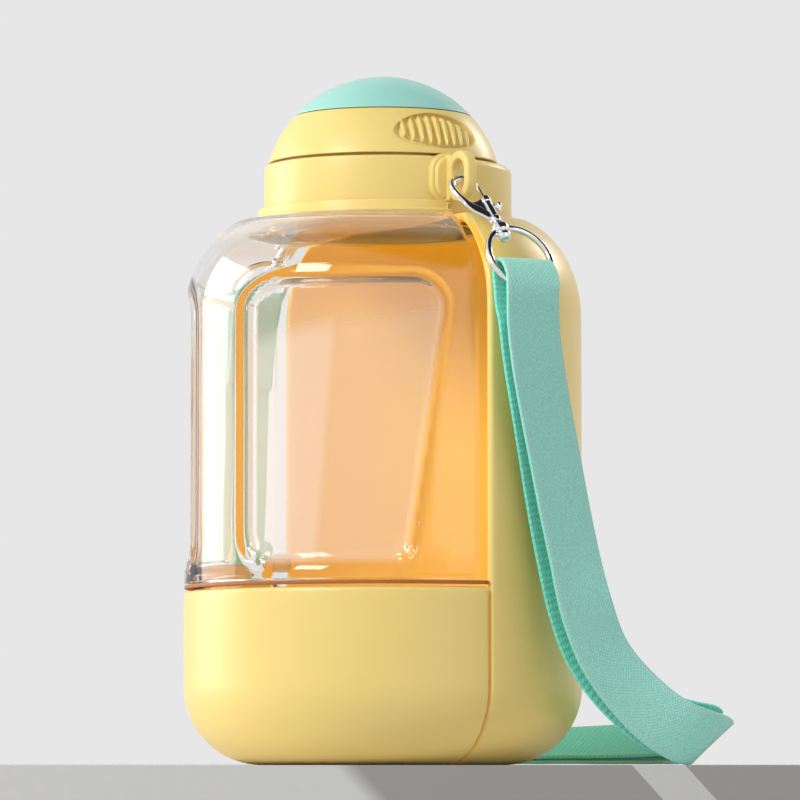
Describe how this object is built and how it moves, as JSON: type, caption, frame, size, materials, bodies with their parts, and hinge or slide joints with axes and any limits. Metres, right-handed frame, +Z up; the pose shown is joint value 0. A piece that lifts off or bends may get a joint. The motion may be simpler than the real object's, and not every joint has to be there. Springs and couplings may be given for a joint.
{
  "type": "dog travel water bottle",
  "caption": "Portable pet water bottle: clear half-round flask in a base cup, detachable half-shell drinking bowl, screw cap with flip lid, and webbing strap on snap hooks",
  "frame": {"origin": "on the bottle's axis at the ground, under the foot", "axes": "+Z up the bottle, -X out of the clear flask's side, +X out of the bowl's side, Y across, with the strap's eyes on +Y and -Y"},
  "size_m": [0.1691, 0.1856, 0.23],
  "materials": {
    "clear_plastic": "clear moulded plastic",
    "yellow_plastic": "satin moulded plastic",
    "mint_plastic": "satin moulded plastic",
    "seal": "soft seal",
    "gasket": "soft silicone",
    "steel": "polished plating",
    "webbing": "woven webbing"
  },
  "bodies": {
    "bottle": {"tank": "clear_plastic", "base_cup": "yellow_plastic", "base_seal": "seal", "tank_flange": "yellow_plastic", "collar": "yellow_plastic", "ring_near": "steel", "ring_far": "steel", "strap_front": "webbing", "strap_back": "webbing", "strap_slider": "steel"},
    "bowl": {"bowl": "yellow_plastic"},
    "gasket": {"cap_gasket": "gasket"},
    "cap": {"cap_core": "yellow_plastic", "cap_shell": "yellow_plastic", "lid_pin": "steel"},
    "lid": {"flip_lid": "mint_plastic", "spout_plug": "gasket"},
    "swivel_near": {"swivel_near": "steel"},
    "hook_near": {"hook_near": "steel", "gate_spring_near": "steel"},
    "gate_near": {"gate_near": "steel"},
    "swivel_far": {"swivel_far": "steel"},
    "hook_far": {"hook_far": "steel", "gate_spring_far": "steel"},
    "gate_far": {"gate_far": "steel"}
  },
  "joints": [
    {"name": "cap_turn", "type": "hinge", "parent": "gasket", "child": "cap", "pos_m": [0, 0, 0.2], "axis": [0, 0, 1], "range_deg": [0, 540]},
    {"name": "cap_rise", "type": "slide", "parent": "bottle", "child": "gasket", "axis": [0, 0, 1], "range_m": [0, 0.0091]},
    {"name": "lid_flip", "type": "hinge", "parent": "cap", "child": "lid", "pos_m": [0.02866, 0, 0.2146], "axis": [0, 1, 0], "range_deg": [0, 105]},
    {"name": "bowl_off", "type": "slide", "parent": "bottle", "child": "bowl", "axis": [1, 0, 0], "range_m": [0, 0.024]},
    {"name": "swivel_tilt_near", "type": "hinge", "parent": "bottle", "child": "swivel_near", "pos_m": [0.0044, -0.0658, 0.1734], "axis": [0.9336, 0.1792, 0.3104], "range_deg": [-3, 0.5]},
    {"name": "hook_turn_near", "type": "hinge", "parent": "swivel_near", "child": "hook_near", "pos_m": [0.0044, -0.0658, 0.1734], "axis": [0, 0.6752, 0.7376], "range_deg": [-6, 2]},
    {"name": "gate_slide_near", "type": "slide", "parent": "hook_near", "child": "gate_near", "axis": [0, -0.6752, -0.7376], "range_m": [0, 0.0044], "stiffness_N_per_m": 200, "deforming": ["gate_spring_near"]},
    {"name": "swivel_tilt_far", "type": "hinge", "parent": "bottle", "child": "swivel_far", "pos_m": [-0.0044, 0.0658, 0.1734], "axis": [-0.9336, -0.1792, 0.3104], "range_deg": [-3, 0.5]},
    {"name": "hook_turn_far", "type": "hinge", "parent": "swivel_far", "child": "hook_far", "pos_m": [-0.0044, 0.0658, 0.1734], "axis": [0, -0.6752, 0.7376], "range_deg": [-6, 2]},
    {"name": "gate_slide_far", "type": "slide", "parent": "hook_far", "child": "gate_far", "axis": [0, 0.6752, -0.7376], "range_m": [0, 0.0044], "stiffness_N_per_m": 200, "deforming": ["gate_spring_far"]}
  ],
  "couplings": [
    {"joint": "cap_rise", "follows": "cap_turn", "m_per_rad": 0.00095493}
  ]
}
